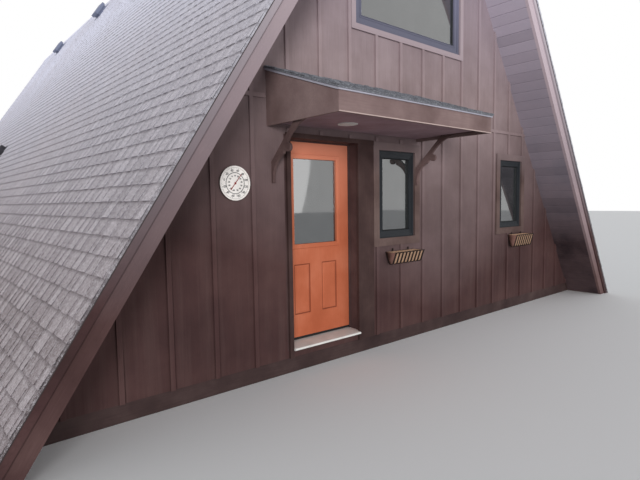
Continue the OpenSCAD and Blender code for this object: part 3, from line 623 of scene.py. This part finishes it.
NODE_LOOKS = (
    (SKIRT, "skirts"),
    (ROUGH_TIMBER, "floor_beams roof_left roof_right"),
    (FLOOR_BOARDS, "ground_floor upper_floor"),
    (WALL_LINING, "front_wall_left front_wall_head front_wall_right front_gable_wall"),
    (WALL_LINING, "rear_wall rear_gable_wall"),
    (SIDING, "front_siding rear_siding"),
    (BATTEN, "battens seam_bands"),
    (SHINGLE, "shingles_left shingles_right ridge_cap"),
    (CEILING_BOARDS, "ceiling"),
    (SOFFIT, "soffits"),
    (FASCIA_PAINTED_SHADE, "rake_fascia_left"),
    (FASCIA_PAINTED_LIGHT, "rake_fascia_right"),
    (RAKE_TRIM, "rake_trim"),
    (VENT, "roof_vents"),
    (JAMB, "door_frame"),
    (CASING, "door_casing"),
    (SILL, "door_sill"),
    (DOOR, "door_leaf"),
    (GLASS, "door_glass window_glass"),
    (LOCK, "door_lockset"),
    (HINGE, "hinges_on_jamb hinges_on_leaf"),
    (WINDOW_METAL, "window_frames"),
    (TRIM, "window_trim"),
    (CANOPY_BOARD, "canopy_roof canopy_fascia"),
    (CANOPY_SHINGLE, "canopy_shingles"),
    (CANOPY_SOFFIT, "canopy_soffit"),
    (LAMP, "canopy_lamp"),
    (BRACKET, "canopy_brackets"),
    (IRON, "basket_frames"),
    (FIBRE, "basket_liners"),
    (DIAL, "thermometer"),
)


def paint(node, look):
    """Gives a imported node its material, on the object, so that its mesh stays as it came."""
    if not node.data.materials:
        node.data.materials.append(None)
    for slot in node.material_slots:
        slot.link = "OBJECT"
        slot.material = look.material


# Shingles

def shingle_courses(builder, place, width, length, rng):
    """Courses on a slope: the place's X runs along a course, its Y up the slope, its Z outward."""
    def block(x0, x1, y0, y1, butt, top, base, tone, skew=0.0):
        corners = [(x0, y0), (x1, y0 + skew), (x1, y1), (x0, y1)]
        lower = [place @ Vector((x, y, base)) for x, y in corners]
        upper = [place @ Vector((x, y, z)) for (x, y), z in zip(corners, (butt, butt, top, top))]
        builder.solid(lower, upper, tone, side_tone=0.0)

    for i in range(math.ceil(length / COURSE)):
        y0 = i * COURSE
        y1 = min(y0 + COURSE + COURSE_LAP, length)
        x = -rng.uniform(0.1, SHINGLE_LENGTH)
        while x < width:
            low, high = max(x, 0.0), min(x + SHINGLE_LENGTH - SHINGLE_JOINT, width)
            if high - low > 0.01:
                block(low, high, y0, y1, STRIP_BUTT, STRIP_TOP, 0.0, rng.uniform(0.1, 0.3))
            x += SHINGLE_LENGTH
        x = -rng.uniform(0.0, 0.2)
        while x < width:
            tab = rng.uniform(*TAB_WIDTHS)
            low, high = max(x, 0.0), min(x + tab, width)
            if high - low > 0.012:
                edge = y0 - rng.uniform(0.0, TAB_DROP) if i else y0
                butt = TAB_BUTT * rng.uniform(0.85, 1.1)
                tone = rng.uniform(0.3, 1.0)
                skew = rng.uniform(-TAB_SKEW, TAB_SKEW) if i else 0.0
                block(low, high, edge, y1, butt, TAB_TOP, TAB_BASE, tone, skew)
            x += tab + rng.uniform(*TAB_GAPS)


def roof_shingles(name, side):
    """Courses of one slope, from the eave up. side is -1 on the left."""
    eave_y = ROOF_REAR if side < 0 else ROOF_FRONT
    place = place_at((side * HALF_WIDTH, eave_y, 0), (0, side, 0), slope_axes(side)[0])
    builder = Builder()
    shingle_courses(builder, place, ROOF_REAR - ROOF_FRONT, SLOPE - 0.06, random.Random(11 + side))
    builder.finish(name, SHINGLE)


def ridge_caps():
    """Bent caps that overlap along the ridge, lying on the plain cap."""
    builder = Builder()
    rng = random.Random(5)
    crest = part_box("ridge_cap")[1].z
    butt = Vector((0, 0, CAP_BUTT / math.cos(PITCH)))
    top = Vector((0, 0, CAP_TOP / math.cos(PITCH)))
    for k in range(math.ceil((ROOF_REAR - ROOF_FRONT) / COURSE)):
        y = ROOF_FRONT + k * COURSE
        near = Vector((0, y, crest))
        far = Vector((0, min(y + COURSE + CAP_LAP, ROOF_REAR), crest))
        tone = rng.uniform(0.2, 0.9)
        for side in (-1, 1):
            up, out = slope_axes(side)
            down = -CAP_REACH * up
            lower = [near, near + down, far + down, far]
            upper = [near + butt, near + down + CAP_BUTT * out, far + down + CAP_TOP * out, far + top]
            order = (1, 0, 3, 2) if side < 0 else (0, 1, 2, 3)
            builder.solid([lower[i] for i in order], [upper[i] for i in order], tone)
    builder.finish("ridge_caps", SHINGLE)


def canopy_courses():
    """Courses on the canopy, whose roof slopes less."""
    low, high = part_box("canopy_shingles")
    eave_z = front_top("canopy_shingles")
    rise = math.atan2(high.z - eave_z, high.y - low.y)
    length = math.hypot(high.z - eave_z, high.y - low.y)
    place = place_at((low.x, low.y, eave_z), (1, 0, 0), (0, math.cos(rise), math.sin(rise)))
    builder = Builder()
    shingle_courses(builder, place, high.x - low.x, length - 0.012, random.Random(23))
    builder.finish("canopy_courses", CANOPY_SHINGLE)


def canopy_edges():
    """Folded edge that hangs round the canopy's roof, and the strip under its front board."""
    low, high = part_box("canopy_roof")
    top = front_top("canopy_roof")
    corner = (low.x - EDGE_THICK, low.y - EDGE_THICK, top - EDGE_DROP)
    builder = Builder()
    builder.box(corner, (high.x + EDGE_THICK, low.y - CLEAR, top - CLEAR))
    lower = [(low.y, top - EDGE_DROP), (high.y, high.z - EDGE_DROP)]
    upper = [(high.y, high.z - CLEAR), (low.y, top - CLEAR)]
    for x in (low.x - EDGE_THICK, high.x + CLEAR):
        builder.prism(lower + upper, place_at((x, 0, 0), (0, 1, 0), (0, 0, 1)), 0.0, EDGE_THICK - CLEAR)
    builder.finish("canopy_edges", CANOPY_EDGE)
    low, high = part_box("canopy_fascia")
    drip = Builder()
    drip.box((low.x, low.y - 0.006, low.z - 0.001), (high.x, low.y - CLEAR, low.z + 0.008))
    drip.finish("canopy_drip", CANOPY_DRIP)


# Boards under the roof's overhang

def soffit_boards():
    """Boards across the overhang, with bevelled edges, in place of the plain soffit."""
    low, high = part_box("soffits")
    slope = high.z / math.sin(PITCH)
    foot = SOFFIT_THICK / math.tan(PITCH)
    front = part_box("rake_fascia_left")[0].y + FASCIA_THICK
    span = WALL_FRONT - front
    deep, bevel = -SOFFIT_THICK, SOFFIT_GROOVE
    builder = Builder()
    rng = random.Random(3)
    for start in (front, WALL_REAR):
        for side in (-1, 1):
            # On the left Z runs to the front, on the right to the rear, where the overhangs change places
            place = place_at((-side * low.x, 0, 0), *slope_axes(side))
            for k in range(math.ceil(slope / SOFFIT_BOARD)):
                a = max(k * SOFFIT_BOARD, foot) + CLEAR
                b = min((k + 1) * SOFFIT_BOARD, slope - 0.004) - CLEAR
                if b - a > 0.02:
                    under = [(a, deep + bevel), (a + bevel, deep), (b - bevel, deep), (b, deep + bevel)]
                    outline = [(a, 0), *under, (b, 0)]
                    builder.prism(outline, place, -start - span, -start, rng.random())
    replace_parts(builder.finish("soffit_boards", SOFFIT), "soffits")


# Nails, vents and edges

def nails():
    """Painted nail heads up the battens."""
    builder = Builder()
    dome = [(0.0, 0.0), (NAIL_RADIUS, 0.0), (0.8 * NAIL_RADIUS, 0.0011), (0.0, 0.0015)]
    rng = random.Random(8)
    for low, high in islands("battens"):
        turn, face = (1, low.y) if low.y < 0 else (-1, high.y)
        middle = (low.x + high.x) / 2
        count = max(1, round((high.z - low.z - 0.1) / NAIL_PITCH))
        foot, span = low.z + 0.05, high.z - low.z - 0.12
        for k in range(count + 1):
            z = foot + k * span / count
            builder.lathe(dome, wall_place(middle + rng.uniform(-0.006, 0.006), face, z, turn), sides=6)
    builder.finish("batten_nails", BATTEN)


def vent_details():
    """Flashing under each vent, and a row of louvres at its lower side."""
    builder = Builder()
    up = slope_axes(-1)[0]
    ridge = Vector((0, 0, RIDGE_Z))
    for low, high in islands("roof_vents"):
        centre = (low + high) / 2
        half = (high.y - low.y) / 2
        drop = (ridge - Vector((centre.x, 0, centre.z))).dot(up)
        place = place_at(Vector((0, centre.y, RIDGE_Z)) - drop * up, (0, -1, 0), up)
        reach = half + FLASHING_REACH
        builder.box((-reach, -reach, 0.003), (reach, reach, 0.010), place)
        for k in range(LOUVRES):
            x = -half + 0.035 + k * (2 * half - 0.07) / (LOUVRES - 1)
            builder.box((x - 0.008, -half - 0.002, 0.066), (x + 0.008, -half + 0.004, 0.118), place)
    builder.finish("vent_flashing", VENT)


def drip_edges():
    """Folded metal along the rakes, between the shingles and the trim board."""
    low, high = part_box("rake_trim")
    builder = Builder()
    for end, trim_y in ((-1, low.y), (1, high.y)):
        for side in (-1, 1):
            up, out = slope_axes(side)
            place = place_at(Vector((side * HALF_WIDTH, trim_y, 0)) - SHINGLE_SKIN * out, (0, end, 0), up)
            # The place's Z points out of the slope where end and side have the same sign
            z0, z1 = sorted((-end * side * FOLD_DEPTH, 0.0))
            builder.box((CLEAR, 0.02, z0), (FOLD_THICK + CLEAR, SLOPE - 0.25, z1), place)
    builder.finish("drip_edges", DRIP_EDGE)


# Windows

def facing(low, high):
    """Place on the outer face of a wall piece, with the piece's two ends along its X."""
    if low.y < 0:
        return wall_place(0, low.y, 0, 1), low.x, high.x
    return wall_place(0, high.y, 0, -1), -high.x, -low.x


def glazing_beads():
    """Rubber seals with a sloping face round each pane."""
    profile = [(-0.009, 0.0005), (0.0, 0.0005), (0.0, 0.011), (-0.003, 0.011)]
    builder = Builder()
    for low, high in islands("window_glass"):
        place, x0, x1 = facing(low, high)
        builder.frame((x0, low.z), (x1, high.z), profile, place)
    builder.finish("glazing_beads", RUBBER)


def sash_edges():
    """A raised lip round each frame and two stepped ribs round each sash."""
    lip = [(-0.012, -0.001), (-0.002, -0.001), (-0.004, 0.003), (-0.010, 0.003)]
    rib = [(0.0, -0.0015), (0.006, -0.0015), (0.004, 0.005), (0.0, 0.007)]
    outer_rib = [(0.0, -0.0015), (0.005, -0.0015), (0.005, 0.004), (0.001, 0.004)]
    builder = Builder()
    for low, high in islands("window_frames"):
        place, x0, x1 = facing(low, high)
        builder.frame((x0, low.z), (x1, high.z), lip, place)
    proud = Vector((0, SASH_FACE, 0))
    for low, high in islands("window_glass"):
        place, x0, x1 = facing(low - proud, high) if low.y < 0 else facing(low, high + proud)
        builder.frame((x0, low.z), (x1, high.z), rib, place)
        builder.frame((x0 - 0.02, low.z - 0.02), (x1 + 0.02, high.z + 0.02), outer_rib, place)
    builder.finish("frame_lips", WINDOW_METAL)


# Door

def lite_moulding():
    """Moulded edge round the door's glass on both faces, riding on the leaf."""
    low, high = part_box("door_glass")
    leaf_low, leaf_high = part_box("door_leaf")
    profile = [(-0.001, -0.010), (0.045, -0.010), (0.045, 0.001), (0.038, 0.005), (0.030, 0.003),
               (0.020, 0.004), (0.008, 0.001), (0.0, -0.006)]
    builder = Builder()
    for face, turn in ((leaf_low.y, 1), (leaf_high.y, -1)):
        x0, x1 = sorted((turn * (low.x + LITE_POCKET), turn * (high.x - LITE_POCKET)))
        corner = (x1, high.z - LITE_POCKET)
        builder.frame((x0, low.z + LITE_POCKET), corner, profile, wall_place(0, face, 0, turn))
    builder.finish("lite_moulding", DOOR, body="door")


def panel_beads():
    """Bead in the groove round each raised panel on both faces, in a darker paint that is painted shade in
    the groove.
    """
    glass_low, glass_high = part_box("door_glass")
    low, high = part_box("door_leaf")
    middle = (glass_low.x + glass_high.x) / 2
    foot = low.z + PANEL_LOW
    profile = [(-0.012, -0.0085), (0.0004, -0.0095), (0.0004, -0.005), (-0.004, -0.0055), (-0.012, -0.0062)]
    builder = Builder()
    for face, turn in ((low.y + LITE_TRIM, 1), (high.y - LITE_TRIM, -1)):
        place = wall_place(0, face, 0, turn)
        for side in (-1, 1):
            left = turn * middle + side * PANEL_APART / 2 - PANEL_WIDTH / 2
            builder.frame((left, foot), (left + PANEL_WIDTH, foot + PANEL_HEIGHT), profile, place)
    builder.finish("panel_beads", GROOVE_PAINTED_SHADE, body="door")


def door_sweep():
    """Dark rubber sweep along the leaf's lower edge."""
    low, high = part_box("door_leaf")
    inset = 0.006
    outline = [(-0.0006, 0.001), (0.006, 0.001), (0.006, 0.012), (0.003, 0.021), (-0.0006, 0.022)]
    place = place_at((high.x - inset, low.y + LITE_TRIM, low.z), (0, -1, 0), (0, 0, 1))
    builder = Builder()
    builder.prism(outline, place, 0.0, high.x - low.x - 2 * inset)
    builder.finish("door_sweep", RUBBER, body="door")


def weather_strip():
    """Foam strip in the corner of the stop, which the leaf closes against."""
    low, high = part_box("door_leaf")
    front, back = low.y + LITE_TRIM - 0.0055, low.y + LITE_TRIM - 0.001
    under_head = high.z - STRIP_HALF
    builder = Builder()
    for x in (low.x, high.x):
        builder.box((x - STRIP_HALF, front, low.z), (x + STRIP_HALF, back, under_head))
    builder.box((low.x + STRIP_HALF, front, under_head), (high.x - STRIP_HALF, back, high.z + 0.003))
    builder.finish("weather_strip", RUBBER)


# Baskets

def trough_point(t, half, depth, inset):
    """Point (Y, Z) of a basket's section below its rim, from the front (t = 0) to the rear (t = 1)."""
    radius = BASKET_BOTTOM - inset
    centre = BASKET_BOTTOM - depth
    lean = math.acos(BASKET_BOTTOM / math.hypot(half, centre)) - math.atan(-centre / half)
    touch_y = radius * math.cos(lean)
    touch_z = centre - radius * math.sin(lean)
    side = -touch_z / math.cos(lean)
    half_arc = radius * (math.pi / 2 - lean)
    turn = 1 if t > 0.5 else -1
    from_bottom = abs(2 * t - 1) * (side + half_arc)
    if from_bottom < half_arc:
        angle = from_bottom / radius
        return turn * radius * math.sin(angle), centre - radius * math.cos(angle)
    up = from_bottom - half_arc
    return turn * (touch_y + up * math.sin(lean)), touch_z + up * math.cos(lean)


def basket_liner(builder, low, high, rng):
    """Lumpy fibre trough with closed ends and a ragged rim, inside the ribs."""
    phases = [rng.uniform(0, 2 * math.pi) for _ in range(12)]
    along = 64
    around = 30
    half = (high.y - low.y) / 2
    centre_y = (low.y + high.y) / 2

    def lump(u, v):
        waves = zip(range(6), phases, phases[6:])
        return sum(
            math.sin((k + 2) * 4.1 * u + a) * math.sin((k + 1) * 2.3 * v + b) for k, a, b in waves) / 6

    points = []
    for ends, inset, swell in ((0.004, LINER_SKIN, 0.0018), (LINER_WALL, LINER_SKIN + LINER_WALL, -0.0011)):
        for i in range(along + 1):
            u = i / along
            x = low.x + ends + u * (high.x - low.x - 2 * ends)
            for j in range(around + 1):
                v = j / around
                deep = inset + swell * (1 + lump(9 * u, 9 * v))
                y, z = trough_point(v, half, high.z - low.z, deep)
                rim = 0.006 * lump(30 * u, 3 * v) if j in (0, around) else 0.0
                points.append((x, centre_y + y, high.z + z + rim))
    row = around + 1
    shell = (along + 1) * row
    last = along * row
    faces = []
    for a in range(0, last, row):
        for j in range(around):
            quad = (a + j, a + j + 1, a + row + j + 1, a + row + j)
            faces.append(quad)
            faces.append(tuple(shell + k for k in quad[::-1]))
        b = a + around
        faces.append((a, a + row, shell + a + row, shell + a))
        faces.append((shell + b, shell + b + row, b + row, b))
    faces.append((0, shell, shell + around, around))
    faces.append((last + around, shell + last + around, shell + last, last))
    inner_ends = [range(shell, shell + row), range(shell + last + around, shell + last - 1, -1)]
    outer_ends = [range(around, -1, -1), range(last, last + row)]
    faces.extend(tuple(end) for end in inner_ends + outer_ends)
    builder.add(points, faces, 1.0)
    # The two outer end faces get tone 0, which the fibre material darkens as painted shade
    builder.tones[-2:] = [0.0, 0.0]


def basket_liners():
    """Liners of all the baskets, in place of the plain ones."""
    builder = Builder()
    rng = random.Random(40)
    for low, high in islands("basket_liners"):
        basket_liner(builder, low, high, rng)
    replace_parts(builder.finish("coco_liners", FIBRE, smooth=True), "basket_liners")


def basket_rims():
    """Round bars along the rims and the screwed plates on the wall."""
    screw = [(0, -0.0005), (0.005, -0.0005), (0.0035, 0.0025), (0, 0.003)]
    builder = Builder()
    for low, high in islands("basket_frames"):
        face = high.y - 0.0045
        for y in (low.y + 0.002, high.y - 0.004):
            path = [Vector((low.x + k * (high.x - low.x) / 12, y, high.z - 0.001)) for k in range(13)]
            builder.tube(path, 0.004)
        for x in (low.x + 0.12, high.x - 0.12):
            builder.box((x - 0.01, face, high.z - 0.002), (x + 0.01, high.y - CLEAR, high.z + 0.035))
            builder.lathe(screw, wall_place(x, face, high.z + 0.02, 1), sides=12)
    builder.finish("basket_rims", IRON)


# Thermometer

def dial_place():
    """Place on the middle of the dial's face, and the dial's radius."""
    low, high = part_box("thermometer")
    centre = (low + high) / 2
    return wall_place(centre.x, low.y + DIAL_FACE, centre.z, 1), (high.x - low.x) / 2


def dial_angle(fahrenheit):
    """Angle of a reading on the dial, from the X axis."""
    return math.radians(255 - 330 * (fahrenheit - DIAL_FIRST) / (DIAL_LAST - DIAL_FIRST))


def dial_marks():
    """Ticks of both scales, the band round the inner one and the line round the outer one."""
    place, radius = dial_place()
    builder = Builder()

    def tick(angle, inner, outer, wide):
        turn = place @ Matrix.Rotation(angle, 4, "Z")
        builder.box((inner * radius, -wide, 0.0001), (outer * radius, wide, 0.0007), turn)

    for reading in range(DIAL_FIRST, DIAL_LAST + 1, 5):
        minor = reading % 20
        tick(dial_angle(reading), 0.86 if minor else 0.84, 0.89, 0.0006 if minor else 0.0011)
    for celsius in range(-50, 71, 5):
        tick(dial_angle(1.8 * celsius + 32), 0.575, 0.605, 0.0006)
    for inner, outer in ((0.59, 0.625), (0.89, 0.897)):
        r0, r1 = inner * radius, outer * radius
        builder.ring([(r0, 0.0001), (r1, 0.0001), (r1, 0.0006), (r0, 0.0006)], place)
    builder.finish("dial_marks", INK)


def dial_numbers():
    """Both scales' numbers, standing upright, with bevelled edges."""
    place, radius = dial_place()
    builder = Builder()
    labels = [(f, dial_angle(f), 0.745, 0.18) for f in range(DIAL_FIRST, DIAL_LAST + 1, 20)]
    labels += [(c, dial_angle(1.8 * c + 32), 0.43, 0.125) for c in range(-50, 71, 10)]
    for number, angle, reach, size in labels:
        text = bpy.data.curves.new("label", "FONT")
        text.body = str(number)
        text.size = size * radius
        text.align_x = "CENTER"
        text.align_y = "CENTER"
        text.extrude = 0.0001
        text.bevel_depth = 0.0006
        text.resolution_u = 3
        holder = new_object("label", text)
        shape = bpy.data.meshes.new_from_object(holder.evaluated_get(bpy.context.evaluated_depsgraph_get()))
        spot = Vector((reach * radius * math.cos(angle), reach * radius * math.sin(angle), 0.0008))
        points = [place @ (v.co + spot) for v in shape.vertices]
        builder.add(points, [tuple(p.vertices) for p in shape.polygons])
        bpy.data.objects.remove(holder)
        bpy.data.meshes.remove(shape)
        bpy.data.curves.remove(text)
    builder.finish("dial_numbers", INK)


def dial_pointer():
    """Needle with a pointed end, on its hub."""
    place, radius = dial_place()
    turn = place @ Matrix.Rotation(math.radians(POINTER_ANGLE), 4, "Z")
    tail, shoulder, tip = -0.5 * radius, 0.64 * radius, 0.7 * radius
    blade = [(tail, -0.0035), (shoulder, -0.003), (tip, 0.0), (shoulder, 0.003), (tail, 0.0035)]
    hub = [(0, 0.0005), (0.006, 0.0005), (0.010, 0.0042), (0.009, 0.0055), (0, 0.0058)]
    builder = Builder()
    builder.prism(blade, turn, 0.0030, 0.0040)
    builder.lathe(hub, place)
    builder.finish("dial_pointer", POINTER)


def dial_bezel():
    """Rounded rim and a rolled inner edge."""
    place, radius = dial_place()
    section = [(-0.0105, 0.0002), (-0.001, 0.0002), (-0.001, -0.004), (0.0005, -0.004), (0.0005, 0.004),
               (-0.002, 0.0068), (-0.006, 0.0068), (-0.0095, 0.0045)]
    builder = Builder()
    builder.ring([(radius + out, z) for out, z in section], place)
    builder.finish("dial_bezel", DIAL, smooth=True)


def dial_housing():
    """Dark skin round the dial's side: partly the housing's own colour, partly painted shade round the
    dial.
    """
    low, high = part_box("thermometer")
    place, radius = dial_place()
    back, front = low.y + DIAL_FACE - high.y + CLEAR, -0.0035
    inner, outer = radius - 0.001, radius + 0.0008
    builder = Builder()
    builder.ring([(inner, back), (outer, back), (outer, front), (inner, front)], place)
    builder.finish("dial_housing", HOUSING_AND_SHADE, smooth=True)


def lamp_lens():
    """Shallow domed lens inside the lamp's rim."""
    low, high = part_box("canopy_lamp")
    centre = (low + high) / 2
    place = place_at((centre.x, centre.y, low.z), (1, 0, 0), (0, -1, 0))
    r = (high.x - low.x) / 2 - 0.019
    dome = [(0, -0.0025), (r, -0.0025), (r, -0.001), (0.8 * r, 0.0008), (0.4 * r, 0.0016), (0, 0.0018)]
    builder = Builder()
    builder.lathe(dome, place, sides=48)
    builder.finish("lamp_lens", LAMP, smooth=True)


# Stage, light and camera

FOCAL_PIXELS = 498.586
CAMERA_AT = (-4.7913, -11.8976, 1.6546)
CAMERA_YAW = 0.7171
CAMERA_DOWN = 0.0778
CAMERA_ROLL = -0.0147
PHOTO_WIDTH = 640
SENSOR = 36
SKY = (0.95, 0.97, 1.0, 1)
SKY_STRENGTH = 0.47


def camera():
    """The photo's camera, looking along its negative Z."""
    data = bpy.data.cameras.new("photo_camera")
    data.sensor_width = SENSOR
    data.lens = FOCAL_PIXELS / PHOTO_WIDTH * SENSOR
    data.clip_end = 200
    level = math.cos(CAMERA_DOWN)
    ahead = Vector((math.sin(CAMERA_YAW) * level, math.cos(CAMERA_YAW) * level, -math.sin(CAMERA_DOWN)))
    right = ahead.cross(Vector((0, 0, 1))).normalized()
    up = right.cross(ahead)
    c, s = math.cos(CAMERA_ROLL), math.sin(CAMERA_ROLL)
    m = Matrix((c * right + s * up, -s * right + c * up, -ahead)).transposed().to_4x4()
    m.translation = Vector(CAMERA_AT)
    made = new_object("photo_camera", data)
    made.matrix_world = m
    bpy.context.scene.camera = made


def seen_directly(tree):
    """1 where a camera, mirror or glass ray meets the surface."""
    rays = tree.nodes.new("ShaderNodeLightPath")
    total = rays.outputs["Is Camera Ray"]
    for name in ("Is Glossy Ray", "Is Transmission Ray"):
        both = tree.nodes.new("ShaderNodeMath")
        both.operation = "MAXIMUM"
        tree.links.new(total, both.inputs[0])
        tree.links.new(rays.outputs[name], both.inputs[1])
        total = both.outputs[0]
    return total


def world():
    """Even light all round, and plain white where the sky itself is seen."""
    w = bpy.data.worlds.new("studio")
    w.use_nodes = True
    tree = w.node_tree
    light = tree.nodes["Background"]
    light.inputs["Color"].default_value = SKY
    light.inputs["Strength"].default_value = SKY_STRENGTH
    white = tree.nodes.new("ShaderNodeBackground")
    white.inputs["Color"].default_value = (1, 1, 1, 1)
    white.inputs["Strength"].default_value = 1.0
    mix = tree.nodes.new("ShaderNodeMixShader")
    tree.links.new(seen_directly(tree), mix.inputs[0])
    tree.links.new(light.outputs[0], mix.inputs[1])
    tree.links.new(white.outputs[0], mix.inputs[2])
    tree.links.new(mix.outputs[0], tree.nodes["World Output"].inputs["Surface"])
    bpy.context.scene.world = w


def floor():
    """Pale floor that takes the shadow, just below the ground plane."""
    size, z = 60, -0.002
    mesh = bpy.data.meshes.new("floor")
    corners = [(-size, -size, z), (size, -size, z), (size, size, z), (-size, size, z)]
    mesh.from_pydata(corners, [], [(0, 1, 2, 3)])
    m = Material("floor_pale", roughness=0.9)
    m.colour(m.mix(seen_directly(m.tree), (0.75, 0.75, 0.75, 1), (0.96, 0.96, 0.96, 1)))
    mesh.materials.append(m.material)
    new_object("floor", mesh)


def lights():
    """Two broad suns in front of the entrance: the main one from the left, a weak one from the right."""
    for name, strength, direction, angle in (
        ("key", 2.1, (0.57, 0.69, -0.08), 18),
        ("fill", 0.6, (-0.25, 0.93, -0.1), 50),
    ):
        data = bpy.data.lights.new(name, "SUN")
        data.energy = strength
        data.angle = math.radians(angle)
        lamp = new_object(name, data)
        lamp.rotation_euler = Vector(direction).to_track_quat("-Z", "Y").to_euler()


bpy.context.scene.view_settings.view_transform = "Standard"
camera()
world()
floor()
lights()
for look, names in NODE_LOOKS:
    for name in names.split():
        paint(NODES[name], look)
roof_shingles("shingle_courses_left", -1)
roof_shingles("shingle_courses_right", 1)
ridge_caps()
canopy_courses()
canopy_edges()
soffit_boards()
nails()
vent_details()
drip_edges()
glazing_beads()
sash_edges()
lite_moulding()
panel_beads()
door_sweep()
weather_strip()
basket_liners()
basket_rims()
dial_marks()
dial_numbers()
dial_pointer()
dial_bezel()
dial_housing()
lamp_lens()
